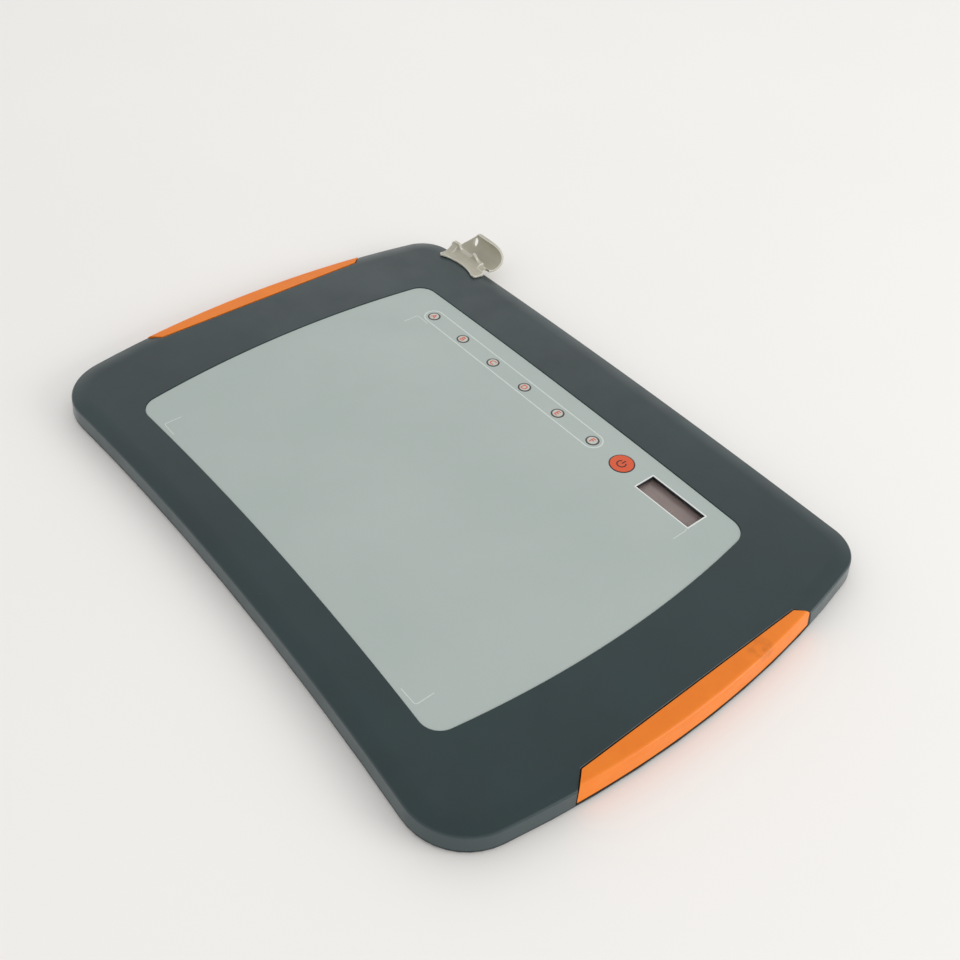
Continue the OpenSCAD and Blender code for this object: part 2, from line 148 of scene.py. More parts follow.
def case_levels(grow=0.0):
    """Outside of the case above its foot: leaning wall, rounded rim and gentle crown."""
    levels = [(SEAM_Z + 0.4, 0)] + rounded_edge(RIM_R, RIM_R, CASE_TOP - CROWN_H, DRAFT)
    crown = [k / CROWN_STEPS for k in range(1, CROWN_STEPS + 1)]
    levels += [(CASE_TOP - CROWN_H * (1 - t) ** 2, DRAFT + RIM_R + CROWN_W * t) for t in crown]
    return [(z + grow, inset - grow) for z, inset in levels]


def round_corners(points, radii, n=6):
    """Outline with each corner rounded to its radius."""
    out = []
    count = len(points)
    for i, (p, r) in enumerate(zip(points, radii)):
        if r <= 0:
            out.append(p)
            continue
        a, b = points[i - 1], points[(i + 1) % count]
        va, vb = Vector((a[0] - p[0], a[1] - p[1])), Vector((b[0] - p[0], b[1] - p[1]))
        va.normalize()
        vb.normalize()
        half = acos(max(-1, min(1, va.dot(vb)))) / 2
        reach = r / tan(half)
        centre = Vector(p) + (va + vb).normalized() * r / sin(half)
        start, end = Vector(p) + va * reach, Vector(p) + vb * reach
        a0, a1 = bearing(centre, start), bearing(centre, end)
        a1 += 2 * pi * round((a0 - a1) / (2 * pi))
        turns = [a0 + (a1 - a0) * k / n for k in range(n + 1)]
        out += [(centre.x + r * cos(t), centre.y + r * sin(t)) for t in turns]
    return out


def circle(x, y, r, n=64):
    return [(x + r * cos(2 * pi * i / n), y + r * sin(2 * pi * i / n)) for i in range(n)]


def rectangle(x0, x1, y0, y1, r=0):
    points = [(x0, y0), (x1, y0), (x1, y1), (x0, y1)]
    return round_corners(points, [r] * 4) if r else points


# ---- mesh building ----


def make(name, verts, faces):
    mesh = bpy.data.meshes.new(name)
    mesh.from_pydata([Vector(v) * MM for v in verts], [], faces)
    mesh.update()
    obj = bpy.data.objects.new(name, mesh)
    scene.collection.objects.link(obj)
    return obj


def loft(name, rings):
    """Closed solid through rings of equal length, each anticlockwise, the first one lowest."""
    n, last = len(rings[0]), (len(rings) - 1) * len(rings[0])
    faces = [tuple(range(n - 1, -1, -1)), tuple(range(last, last + n))]
    for k in range(len(rings) - 1):
        for i in range(n):
            j = (i + 1) % n
            faces.append((k * n + i, k * n + j, (k + 1) * n + j, (k + 1) * n + i))
    return make(name, [p for ring in rings for p in ring], faces)


def stack(name, outline, levels):
    """Loft of outline(g) at each (height, g)."""
    return loft(name, [[(x, y, z) for x, y in outline(g)] for z, g in levels])


def prism(name, points, z0, z1):
    return loft(name, [[(x, y, z) for x, y in points] for z in (z0, z1)])


def block(name, lo, hi, r=0):
    return prism(name, rectangle(lo[0], hi[0], lo[1], hi[1], r), lo[2], hi[2])


def lathe(name, x, y, profile, n=64):
    """Solid of revolution about a vertical axis: profile is (radius, height) from the bottom up."""
    return loft(name, [[(px, py, z) for px, py in circle(x, y, r, n)] for r, z in profile])


def set_mesh(obj, mesh):
    old = obj.data
    obj.data = mesh
    if old.users == 0:
        bpy.data.meshes.remove(old)


def bake(obj):
    """Makes the object's modifiers part of its mesh."""
    graph = bpy.context.evaluated_depsgraph_get()
    mesh = bpy.data.meshes.new_from_object(obj.evaluated_get(graph))
    obj.modifiers.clear()
    set_mesh(obj, mesh)
    return obj


def combine(obj, others, operation="DIFFERENCE"):
    """Boolean of obj with each of the others, which are used up."""
    for other in others:
        m = obj.modifiers.new(operation, "BOOLEAN")
        m.operation, m.object, m.solver = operation, other, "EXACT"
        bake(obj)
        mesh = other.data
        bpy.data.objects.remove(other)
        bpy.data.meshes.remove(mesh)
    return obj


def merged(name, parts):
    """One object from (object, material) pairs, which are used up."""
    bm = bmesh.new()
    materials = []
    for obj, material in parts:
        if material not in materials:
            materials.append(material)
        before = len(bm.faces)
        bm.from_mesh(obj.data)
        bm.faces.ensure_lookup_table()
        for face in bm.faces[before:]:
            face.material_index = materials.index(material)
        mesh = obj.data
        bpy.data.objects.remove(obj)
        bpy.data.meshes.remove(mesh)
    mesh = bpy.data.meshes.new(name)
    bm.to_mesh(mesh)
    bm.free()
    for material in materials:
        mesh.materials.append(material)
    obj = bpy.data.objects.new(name, mesh)
    scene.collection.objects.link(obj)
    return obj


def upright(obj):
    """Turns all faces outwards."""
    bm = bmesh.new()
    bm.from_mesh(obj.data)
    bmesh.ops.recalc_face_normals(bm, faces=bm.faces)
    bm.to_mesh(obj.data)
    bm.free()
    return obj


def cleaned(obj, distance=0.002):
    """Joins vertices closer than distance, in millimetres, and drops faces without area."""
    bm = bmesh.new()
    bm.from_mesh(obj.data)
    bmesh.ops.remove_doubles(bm, verts=bm.verts, dist=distance * MM)
    bmesh.ops.dissolve_degenerate(bm, edges=bm.edges, dist=distance * MM)
    bm.to_mesh(obj.data)
    bm.free()
    return obj


def shade(obj, angle=32, rounding=0, segments=3, limit=40):
    """Smooth shading up to an angle, after rounding the sharp edges."""
    if rounding:
        m = obj.modifiers.new("rounding", "BEVEL")
        m.width, m.segments, m.limit_method = rounding * MM, segments, "ANGLE"
        m.angle_limit = radians(limit)
        m.miter_outer = "MITER_ARC"
        bake(obj)
    obj.data.shade_smooth()
    obj.data.set_sharp_from_angle(angle=radians(angle))
    m = obj.modifiers.new("normals", "WEIGHTED_NORMAL")
    m.keep_sharp = True
    m.weight = 80
    return obj


def piece(obj, body, nodes=(), material=None):
    """Puts a finished piece on its body, for the CAD nodes that it stands for."""
    if material is not None:
        obj.data.materials.clear()
        obj.data.materials.append(material)
    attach(obj, body)
    if nodes:
        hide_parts(*nodes)
    return obj


def dress(node, material, rounding=0.0, segments=2, angle=32):
    """Finishes a CAD node that stays: material, small edge rounding and smooth shading."""
    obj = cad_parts[node]
    obj.data.materials.clear()
    obj.data.materials.append(material)
    m = obj.modifiers.new("weld", "WELD")
    m.merge_threshold = 0.001 * MM
    if rounding:
        m = obj.modifiers.new("flat", "DECIMATE")
        m.decimate_type, m.angle_limit = "DISSOLVE", radians(0.5)
        m = obj.modifiers.new("rounding", "BEVEL")
        m.width, m.segments, m.limit_method = rounding * MM, segments, "ANGLE"
        m.angle_limit = radians(40)
    m = obj.modifiers.new("normals", "WEIGHTED_NORMAL")
    m.keep_sharp = True
    for polygon in obj.data.polygons:
        polygon.use_smooth = True
    obj.data.set_sharp_from_angle(angle=radians(angle))


# ---- materials ----


def linear(r, g, b):
    """Colour from 0 to 255 screen values."""
    shares = [v / 255 for v in (r, g, b)]
    return tuple(s / 12.92 if s <= 0.04045 else ((s + 0.055) / 1.055) ** 2.4 for s in shares) + (1,)


class Finish:
    """A Principled material with a small vocabulary for its procedural detail."""

    def __init__(self, name, roughness=0.5, ior=1.5, **values):
        self.material = bpy.data.materials.new(name)
        self.material.use_nodes = True
        self.tree = self.material.node_tree
        self.tree.nodes.clear()
        self.bsdf = self.node("ShaderNodeBsdfPrincipled")
        out = self.node("ShaderNodeOutputMaterial")
        self.link(self.bsdf.outputs["BSDF"], out.inputs["Surface"])
        self.place = self.node("ShaderNodeTexCoord").outputs["Object"]
        self.bsdf.inputs["Roughness"].default_value = roughness
        self.bsdf.inputs["IOR"].default_value = ior
        for key, value in values.items():
            self.bsdf.inputs[key.replace("_", " ")].default_value = value

    def node(self, kind, **settings):
        made = self.tree.nodes.new(kind)
        for key, value in settings.items():
            setattr(made, key, value)
        return made

    def link(self, a, b):
        self.tree.links.new(a, b)

    def feed(self, socket, value):
        if isinstance(value, bpy.types.NodeSocket):
            self.link(value, socket)
        else:
            socket.default_value = value

    def stretched(self, scale):
        n = self.node("ShaderNodeMapping")
        self.link(self.place, n.inputs["Vector"])
        n.inputs["Scale"].default_value = scale
        return n.outputs["Vector"]

    def noise(self, size, detail=3.0, rough=0.55, vector=None):
        """Noise with features of about that size in millimetres."""
        n = self.node("ShaderNodeTexNoise")
        self.link(vector or self.place, n.inputs["Vector"])
        n.inputs["Scale"].default_value = 1 / (size * MM)
        n.inputs["Detail"].default_value = detail
        n.inputs["Roughness"].default_value = rough
        return n.outputs["Fac"]

    def cells(self, size, feature="F1", vector=None):
        n = self.node("ShaderNodeTexVoronoi", feature=feature)
        self.link(vector or self.place, n.inputs["Vector"])
        n.inputs["Scale"].default_value = 1 / (size * MM)
        return n.outputs["Distance"]

    def curve(self, value, x0, x1, y0=0.0, y1=1.0):
        """Maps x0..x1 to y0..y1 and holds the ends."""
        n = self.node("ShaderNodeMapRange")
        self.feed(n.inputs["Value"], value)
        for key, v in (("From Min", x0), ("From Max", x1), ("To Min", y0), ("To Max", y1)):
            n.inputs[key].default_value = v
        return n.outputs["Result"]

    def math(self, operation, a, b=0.0):
        n = self.node("ShaderNodeMath", operation=operation)
        self.feed(n.inputs[0], a)
        self.feed(n.inputs[1], b)
        return n.outputs[0]

    def mix(self, share, a, b):
        n = self.node("ShaderNodeMix", data_type="RGBA")
        self.feed(n.inputs[0], share)
        self.feed(n.inputs[6], a)
        self.feed(n.inputs[7], b)
        return n.outputs[2]

    def axis(self, name):
        """One coordinate of the place."""
        n = self.node("ShaderNodeSeparateXYZ")
        self.link(self.place, n.inputs[0])
        return n.outputs[name]

    def ruled(self, value, pitch):
        """Distance from the middle of each interval of that length: 0 to 0.5 of it."""
        share = self.math("FRACT", self.math("MULTIPLY", value, 1 / (pitch * MM)))
        return self.math("ABSOLUTE", self.math("SUBTRACT", share, 0.5))

    def near(self, x, y, z, radius, soft):
        """1 within radius of a point and 0 beyond radius + soft, in millimetres."""
        n = self.node("ShaderNodeVectorMath", operation="DISTANCE")
        self.link(self.place, n.inputs[0])
        n.inputs[1].default_value = (x * MM, y * MM, z * MM)
        return self.curve(n.outputs["Value"], radius * MM, (radius + soft) * MM, 1, 0)

    def colour(self, value):
        self.feed(self.bsdf.inputs["Base Color"], value)

    def roughness(self, value):
        self.feed(self.bsdf.inputs["Roughness"], value)

    def bump(self, height, depth, strength=1.0, under=None):
        """Relief of that depth in millimetres, over another one if given."""
        n = self.node("ShaderNodeBump")
        n.inputs["Distance"].default_value = depth * MM
        n.inputs["Strength"].default_value = strength
        self.link(height, n.inputs["Height"])
        if under is not None:
            self.link(under, n.inputs["Normal"])
        self.link(n.outputs["Normal"], self.bsdf.inputs["Normal"])
        return n.outputs["Normal"]


def moulded(
    name,
    colour,
    roughness,
    grain=0.35,
    depth=0.012,
    vary=0.12,
    specks=0.0,
    patch=45,
    edges=None,
    low=None,
    **values,
):
    """Moulded plastic: spark-eroded grain, handling marks and, where asked, specks or a painted highlight
    on thin edges.

    low is (z0, z1, colour): painted light, a paler colour below z0 that fades out at z1, in millimetres,
    standing in for the reflected light that brightens the walls.
    """
    f = Finish(name, **values)
    broad = f.noise(patch, 4, 0.6)
    fine = f.noise(2.5, 3)
    dark = tuple(c * (1 - vary) for c in colour[:3]) + (1,)
    light = tuple(min(1, c * (1 + vary)) for c in colour[:3]) + (1,)
    tint = f.mix(f.curve(broad, 0.35, 0.65), dark, light)
    tint = f.mix(f.curve(fine, 0.55, 0.8, 0, 0.25), tint, light)
    if specks:
        dots = f.curve(f.cells(9), 0.012, 0.02, 1, 0)
        gate = f.curve(f.noise(14, 1), 0.56, 0.6)
        pale = tuple(min(1, c * 3.2 + 0.03) for c in colour[:3]) + (1,)
        tint = f.mix(f.math("MULTIPLY", f.math("MULTIPLY", dots, gate), specks), tint, pale)
    if edges:
        # painted highlight: thin edges are tinted pale where they would catch the light
        edge_highlight_mask = f.node("ShaderNodeNewGeometry").outputs["Pointiness"]
        tint = f.mix(f.curve(edge_highlight_mask, 0.505, 0.56), tint, edges)
    # painted light: below z0 the walls are tinted paler, standing in for the light they reflect
    if low:
        z0, z1, pale = low
        tint = f.mix(f.curve(f.axis("Z"), z0 * MM, z1 * MM, 1, 0), tint, pale)
    f.colour(tint)
    smudge = f.curve(f.noise(28, 5, 0.65), 0.4, 0.62, roughness - 0.05, roughness + 0.06)
    f.roughness(smudge)
    first = f.bump(f.noise(grain, 2), depth)
    f.bump(f.noise(patch * 0.6, 2), 0.06, 0.5, first)
    return f


CASE = moulded(
    "case_plastic",
    linear(26, 47, 50),
    0.38,
    specks=0.8,
    # painted light: the walls below the rim are painted paler to stand in for reflected light
    low=(CASE_TOP - 2.2, CASE_TOP - 1.2, linear(48, 64, 67)),
    Sheen_Weight=0.32,
    Sheen_Roughness=0.3,
).material
COVER = moulded("cover_plastic", linear(30, 40, 43), 0.5, grain=0.5, depth=0.02).material
HOLDER = moulded(
    "holder_plastic",
    linear(178, 175, 159),
    0.4,
    depth=0.006,
    vary=0.04,
    patch=12,
    # painted highlight: pale colour on the holder's thin edges and rims
    edges=linear(232, 231, 224),
).material
SLIDER = moulded("slider_plastic", linear(34, 37, 39), 0.45, patch=8).material
RUBBER = moulded("foot_rubber", linear(28, 28, 29), 0.75, grain=0.25, depth=0.03, patch=6).material


def grip_material():
    f = Finish("grip_rubber", 0.42, 1.42)
    broad = f.noise(30, 4, 0.6)
    tint = f.mix(f.curve(broad, 0.35, 0.65), linear(232, 122, 22), linear(240, 131, 28))
    mark = f.math("MULTIPLY", f.near(167, 36, 12, 1.5, 6), f.curve(f.noise(4.5, 2, 0.5), 0.4, 0.68))
    tint = f.mix(f.math("MULTIPLY", mark, 0.45), tint, linear(120, 58, 14))
    f.colour(tint)
    f.roughness(f.curve(f.noise(22, 5, 0.65), 0.4, 0.62, 0.38, 0.5))
    f.bump(f.noise(0.3, 2), 0.008)
    f.bsdf.inputs["Subsurface Weight"].default_value = 0.06
    f.bsdf.inputs["Subsurface Radius"].default_value = (1.0, 0.35, 0.1)
    f.bsdf.inputs["Subsurface Scale"].default_value = 0.002
    return f.material


def overlay_material():
    f = Finish("overlay_film", 0.5)
    broad = f.noise(80, 4, 0.55)
    tint = f.mix(f.curve(broad, 0.35, 0.65), linear(171, 183, 179), linear(177, 188, 184))
    tint = f.mix(f.curve(f.noise(0.25, 1), 0.3, 0.7, 0, 0.35), tint, linear(165, 176, 172))
    f.colour(tint)
    f.roughness(f.curve(f.noise(35, 5, 0.6), 0.4, 0.62, 0.44, 0.54))
    f.bump(f.noise(0.22, 2), 0.01)
    return f.material


def print_material(name, colour, roughness=0.5):
    """Printed ink: slightly uneven colour and the film's own grain."""
    f = Finish(name, roughness)
    dark = tuple(c * 0.9 for c in colour[:3]) + (1,)
    f.colour(f.mix(f.curve(f.noise(0.8, 3), 0.35, 0.65), dark, colour))
    f.bump(f.noise(0.22, 2), 0.008)
    return f.material


GRIP = grip_material()
OVERLAY = overlay_material()
INK_PALE = print_material("ink_pale", linear(212, 222, 218))
INK_RING = print_material("ink_ring", linear(78, 74, 70))
INK_FACE = print_material("ink_key_face", linear(198, 200, 194))
INK_LETTER = print_material("ink_letter", linear(214, 92, 62))
INK_ORANGE = print_material("ink_orange", linear(222, 84, 34), 0.4)
INK_BROWN = print_material("ink_brown", linear(58, 34, 30))
WHITE = moulded("frame_white", linear(226, 231, 229), 0.4, depth=0.004, vary=0.03, patch=10).material
WELL = moulded("recess_plastic", linear(34, 38, 42), 0.5, patch=8).material


def lcd_material():
    f = Finish("lcd_glass", 0.25, Coat_Weight=1.0, Coat_Roughness=0.03)
    columns = f.curve(f.ruled(f.axis("X"), 2.1), 0.42, 0.46, 0, 0.10)
    rows = f.curve(f.ruled(f.axis("Y"), 4.1), 0.44, 0.47, 0, 0.10)
    tint = f.mix(f.curve(f.noise(9, 3), 0.35, 0.65), linear(168, 150, 146), linear(178, 160, 155))
    tint = f.mix(f.math("MAXIMUM", columns, rows), tint, linear(128, 115, 111))
    f.colour(tint)
    return f.material


def window_material():
    f = Finish("window_clear", 0.03, Alpha=0.12)
    f.colour(f.mix(f.curve(f.noise(6, 2), 0.4, 0.6), linear(70, 62, 60), linear(80, 72, 68)))
    return f.material


def metal(name, colour, roughness, grain=0.4, stretch=(1, 1, 1)):
    f = Finish(name, roughness, Metallic=1.0)
    streak = f.noise(grain, 3, 0.6, f.stretched(stretch))
    dark = tuple(c * 0.8 for c in colour[:3]) + (1,)
    f.colour(f.mix(f.curve(streak, 0.3, 0.7), dark, colour))
    f.roughness(f.curve(streak, 0.3, 0.7, roughness - 0.06, roughness + 0.08))
    f.bump(streak, 0.004)
    return f.material


def board_material():
    """Green board: copper pours and traces under the mask, with a scatter of vias."""
    f = Finish("board_green", 0.32)
    pour = f.curve(f.noise(7, 1), 0.48, 0.52)
    trace = f.node("ShaderNodeTexWave", wave_type="BANDS", bands_direction="DIAGONAL")
    f.link(f.place, trace.inputs["Vector"])
    trace.inputs["Scale"].default_value = 1 / (6 * MM)
    trace.inputs["Distortion"].default_value = 1.5
    lines = f.curve(trace.outputs["Fac"], 0.62, 0.7)
    copper = f.math("MAXIMUM", pour, lines)
    tint = f.mix(copper, linear(16, 66, 38), linear(30, 98, 54))
    vias = f.curve(f.cells(2.6), 0.1, 0.13, 1, 0)
    tint = f.mix(f.math("MULTIPLY", vias, f.curve(f.noise(5, 1), 0.5, 0.55)), tint, linear(196, 176, 112))
    f.colour(tint)
    f.bump(copper, 0.03)
    return f.material


BOARD = board_material()
LCD = lcd_material()
WINDOW = window_material()
CHIP = moulded("chip_black", linear(30, 30, 32), 0.55, grain=0.15, depth=0.01, patch=4).material
CAN = metal("can_steel", linear(196, 198, 198), 0.28, 0.5, (1, 6, 1))
FOIL = metal("shield_foil", linear(206, 208, 208), 0.32, 1.2, (1, 12, 1))
DOME = metal("dome_steel", linear(200, 200, 196), 0.22, 0.3)
SCREW = metal("screw_steel", linear(92, 94, 96), 0.35, 0.2)
SOCKET = metal("socket_steel", linear(190, 192, 192), 0.25, 0.3, (1, 6, 1))


def flex_material():
    f = Finish("flex_amber", 0.3)
    line = f.curve(f.ruled(f.axis("X"), 1.0), 0.2, 0.26)
    f.colour(f.mix(line, linear(178, 112, 42), linear(204, 150, 66)))
    f.bump(line, 0.03)
    return f.material


def wrap_material():
    """Shrink film round the cells, with fine creases."""
    f = Finish("battery_wrap", 0.28, Coat_Weight=0.4, Coat_Roughness=0.12)
    f.colour(f.mix(f.curve(f.noise(14, 4), 0.35, 0.65), linear(28, 62, 128), linear(38, 78, 150)))
    f.bump(f.noise(2.2, 4, 0.6, f.stretched((1, 4, 1))), 0.12)
    return f.material


FLEX = flex_material()
WRAP = wrap_material()
FOAM = moulded("foam_grey", linear(74, 76, 78), 0.9, grain=0.6, depth=0.12, patch=5).material
PLUG = moulded("plug_ivory", linear(222, 214, 194), 0.4, depth=0.004, vary=0.05, patch=5).material
CABLE_RED = moulded("cable_red", linear(150, 28, 26), 0.4, depth=0.004, patch=5).material
CABLE_BLACK = moulded("cable_black", linear(24, 24, 26), 0.4, depth=0.004, patch=5).material


# ---- case, writing side ----

ROOF_Z = 9.5
WALL = 2.4
GRIP_X, GRIP_Y, GRIP_HALF = 162.7, 2.0, 61.5
GRIP_SLANT, GRIP_GAP = 1.15, 0.5
KEY_FLANGE = 1.3  # a key's flange is wider than its cap by this much


def grip_plan(g, side=1, corner=0.8):
    """Plan of a grip, or of its pocket, grown by g."""
    reach = HALF_W + 6 - GRIP_X
    half = GRIP_HALF + g * 0.6
    wide = half + GRIP_SLANT * reach
    points = [(-g, -half), (reach, -wide), (reach, wide), (-g, half)]
    out = round_corners(points, [corner + g, 0, 0, corner + g])
    out = [(GRIP_X + x, GRIP_Y + y) for x, y in out]
    return out if side > 0 else [(-x, y) for x, y in reversed(out)]


def key_names():
    return ["key_" + c for c in "abcdef"]


def middle(node):
    lo, hi = span(node)
    return (lo + hi) / 2


def key_well(node, gap=0.15):
    lo, hi = span(node)
    c, flange = (lo + hi) / 2, (hi.x - lo.x) / 2
    r = flange - KEY_FLANGE + gap
    under = flange + 0.1
    return lathe("well", c.x, c.y, [(under, ROOF_Z - 1), (under, 10), (r, 10), (r, CASE_TOP + 1)])


def display_opening(z0, z1, gap=0.05):
    lo, hi = span("lcd_frame")
    return block("lcd", (lo.x - gap, lo.y - gap, z0), (hi.x + gap, hi.y + gap, z1))


def case_top():
    obj = stack("case_shell", case_plan, [(SEAM_Z, 0.35)] + case_levels())
    cavity = prism("cavity", case_plan(WALL), SEAM_Z - 1, ROOF_Z)
    walls = [prism("w", grip_plan(GRIP_GAP + 1.8, s), SEAM_Z - 2, ROOF_Z + 1) for s in (1, -1)]
    combine(cavity, walls)
    lip = [(CASE_TOP - 0.25, 0), (CASE_TOP - 0.08, -0.06), (CASE_TOP, -0.2), (CASE_TOP + 1, -0.9)]
    tray = stack("tray", panel_plan, [(TRAY_Z, 0)] + lip)
    cuts = [cavity, tray]
    for s in (1, -1):
        rim = [(z, GRIP_GAP + g) for z, g in rounded_edge(0.9, 0.7, CASE_TOP, 0, 5)]
        levels = [(SEAM_Z - 1, GRIP_GAP)] + rim + [(CASE_TOP + 1, GRIP_GAP + 3)]
        cuts.append(stack("pocket", lambda g, s=s: grip_plan(g, s), levels))
    cuts += [key_well(n) for n in key_names() + ["main_key"]]
    cuts.append(display_opening(ROOF_Z - 1, CASE_TOP + 1))
    back = CASE_BACK
    lo, hi = span("battery_door")
    cuts.append(block("door", (lo.x - 0.3, back - 6, SEAM_Z - 1), (hi.x + 0.3, back + 2, hi.z + 0.15)))
    socket = middle("charge_socket").x
    cuts.append(block("socket", (socket - 4.2, back - 6, 4.4), (socket + 4.2, back + 2, 8.7)))
    switch = middle("power_switch").x
    cuts.append(block("switch", (switch - 3.1, back - 6, 3.9), (switch + 3.1, back + 2, 5.9)))
    cuts.append(block("tongue", (HOLDER_X - 10.2, back - 6, 4.85), (HOLDER_X + 10.2, back + 2, 7.75)))
    return shade(cleaned(combine(obj, cuts)), 30)


piece(case_top(), "case", ["top_housing"], CASE)


def face_film():
    levels = [(TRAY_Z, 0.2), (OVERLAY_TOP - 0.1, 0.2), (OVERLAY_TOP - 0.03, 0.23), (OVERLAY_TOP, 0.3)]
    obj = stack("face_film", panel_plan, levels)
    cuts = []
    for node in key_names() + ["main_key"]:
        lo, hi = span(node)
        r = (hi.x - lo.x) / 2 - KEY_FLANGE + 0.15
        c = (lo + hi) / 2
        top = [(r, OVERLAY_TOP - 0.06), (r + 0.08, OVERLAY_TOP), (r + 0.1, OVERLAY_TOP + 1)]
        cuts.append(lathe("hole", c.x, c.y, [(r, TRAY_Z - 1)] + top))
    cuts.append(display_opening(TRAY_Z - 1, CASE_TOP))
    return shade(cleaned(combine(obj, cuts)), 30)


piece(face_film(), "case", ["face_overlay"], OVERLAY)


# ---- print on the film ----

INK = 0.02  # thickness of a printed line


def ring_band(name, outer, inner, z0, z1):
    """Closed band between two outlines of equal length."""
    n = len(outer)
    rings = [[(x, y, z) for x, y in o] for o, z in ((outer, z0), (outer, z1), (inner, z1), (inner, z0))]
    faces = []
    for k in range(4):
        for i in range(n):
            j, m = (i + 1) % n, (k + 1) % 4
            faces.append((k * n + i, k * n + j, m * n + j, m * n + i))
    return make(name, [p for r in rings for p in r], faces)


def stroke(name, path, width, z0, z1):
    """Closed strip of constant width along an open path."""
    left, right = [], []
    for i, p in enumerate(path):
        a, b = Vector(path[max(0, i - 1)]), Vector(path[min(len(path) - 1, i + 1)])
        d = (b - a).normalized() * width / 2
        left.append((p[0] - d.y, p[1] + d.x))
        right.append((p[0] + d.y, p[1] - d.x))
    return prism(name, right + left[::-1], z0, z1)


def capsule(x0, x1, y, r, n=20):
    """Outline of a band with round ends."""
    turn = [pi * i / n for i in range(n + 1)]
    left = [(x0 + r * cos(pi / 2 + t), y + r * sin(pi / 2 + t)) for t in turn]
    return left + [(x1 + r * cos(-pi / 2 + t), y + r * sin(-pi / 2 + t)) for t in turn]


def printed_lines():
    z0, z1 = OVERLAY_TOP - 0.04, OVERLAY_TOP + INK
    y, x0, x1 = middle("key_a").y, middle("key_a").x, middle("key_f").x
    parts = [ring_band("capsule", capsule(x0, x1, y, 5.55), capsule(x0, x1, y, 4.9), z0, z1)]
    left, right, low, high = -99.6, 103.0, -91.2, 62.0
    marks = ((left, low, 1, 1), (right, low, -1, 1), (right, high, -1, -1), (left, high, 1, -1))
    for cx, cy, sx, sy in marks:
        r = 1.2
        path = [(cx, cy + sy * 9), (cx, cy + sy * r)]
        bend = (pi / 8, pi / 4, 3 * pi / 8)
        path += [(cx + sx * r * (1 - cos(a)), cy + sy * r * (1 - sin(a))) for a in bend]
        if (cx, cy) != (right, high):  # the other arm of this mark lies under the display frame
            path += [(cx + sx * r, cy), (cx + sx * 9.5, cy)]
        parts.append(stroke("corner", path, 0.36, z0, z1))
    return upright(merged("printed_lines", [(p, INK_PALE) for p in parts]))


piece(printed_lines(), "case")


# ---- keys ----


def letter(text, x, y, z, size):
    curve = bpy.data.curves.new("letter", "FONT")
    curve.body, curve.size, curve.align_x, curve.align_y = text, size, "CENTER", "CENTER"
    curve.extrude = INK
    curve.offset = 0.09
    text_obj = bpy.data.objects.new("letter", curve)
    scene.collection.objects.link(text_obj)
    bpy.context.view_layer.update()
    graph = bpy.context.evaluated_depsgraph_get()
    mesh = bpy.data.meshes.new_from_object(text_obj.evaluated_get(graph))
    bpy.data.objects.remove(text_obj)
    xs = [v.co.x for v in mesh.vertices]
    ys = [v.co.y for v in mesh.vertices]
    shift = Vector((-(min(xs) + max(xs)) / 2, -(min(ys) + max(ys)) / 2, 0))
    place = Matrix.Translation(Vector((x, y, z)) * MM)
    mesh.transform(place @ Matrix.Scale(MM, 4) @ Matrix.Translation(shift))
    obj = bpy.data.objects.new("letter", mesh)
    scene.collection.objects.link(obj)
    return obj


def key_body(name, node, edge=0.22):
    lo, hi = span(node)
    c, flange = (lo + hi) / 2, (hi.x - lo.x) / 2
    r, top, step = flange - KEY_FLANGE, hi.z, lo.z + 0.6
    profile = [(flange, lo.z), (flange, lo.z + 0.5), (flange - 0.1, step), (r, step), (r, top - edge)]
    bend = [pi / 2 * i / 4 for i in range(1, 5)]
    profile += [(r - edge * (1 - cos(a)), top - edge + edge * sin(a)) for a in bend]
    return lathe(name, c.x, c.y, profile), c, r, top


def letter_key(node, text):
    body, c, r, top = key_body("body", node)
    face = lathe("face", c.x, c.y, [(r - 0.72, top - 0.05), (r - 0.72, top + INK * 0.6)])
    ink = letter(text, c.x, c.y, top + INK * 0.8, 4.7)
    obj = merged(node + "_cap", [(body, INK_RING), (face, INK_FACE), (ink, INK_LETTER)])
    return piece(shade(obj, 35), node, [node])


for node, text in zip(key_names(), "ABCDEF"):
    letter_key(node, text)


def main_key():
    body, c, r, top = key_body("body", "main_key", 0.3)
    face = lathe("face", c.x, c.y, [(r - 0.5, top - 0.05), (r - 0.5, top + INK * 0.6)])
    z0, z1 = top, top + INK * 1.6
    gap = radians(38)
    angles = [gap + (2 * pi - 2 * gap) * i / 30 for i in range(31)]
    path = [(c.x + 2.2 * sin(a), c.y - 0.3 + 2.2 * cos(a)) for a in angles]
    glyph = stroke("glyph", path, 0.7, z0, z1)
    bar = stroke("bar", [(c.x, c.y), (c.x, c.y + 2.7)], 0.7, z0, z1)
    layers = [(body, INK_BROWN), (face, INK_ORANGE), (glyph, INK_BROWN), (bar, INK_BROWN)]
    obj = merged("main_key_cap", layers)
    return piece(shade(obj, 35), "main_key", ["main_key"])


main_key()


# ---- display ----


def display_frame():
    lo, hi = span("lcd_frame")
    rim_z = hi.z - 0.35

    def outline(inset):
        return rectangle(lo.x + inset, hi.x - inset, lo.y + inset, hi.y - inset, 0.25)

    rim = ring_band("rim", outline(0), outline(0.7), rim_z, hi.z)
    wall = ring_band("wall", outline(0), outline(0.6), lo.z, rim_z)
    obj = upright(merged("display_rim", [(rim, WHITE), (wall, WELL)]))
    return shade(obj, 30, 0.08, 2)


piece(display_frame(), "case", ["lcd_frame"])


# ---- grips ----


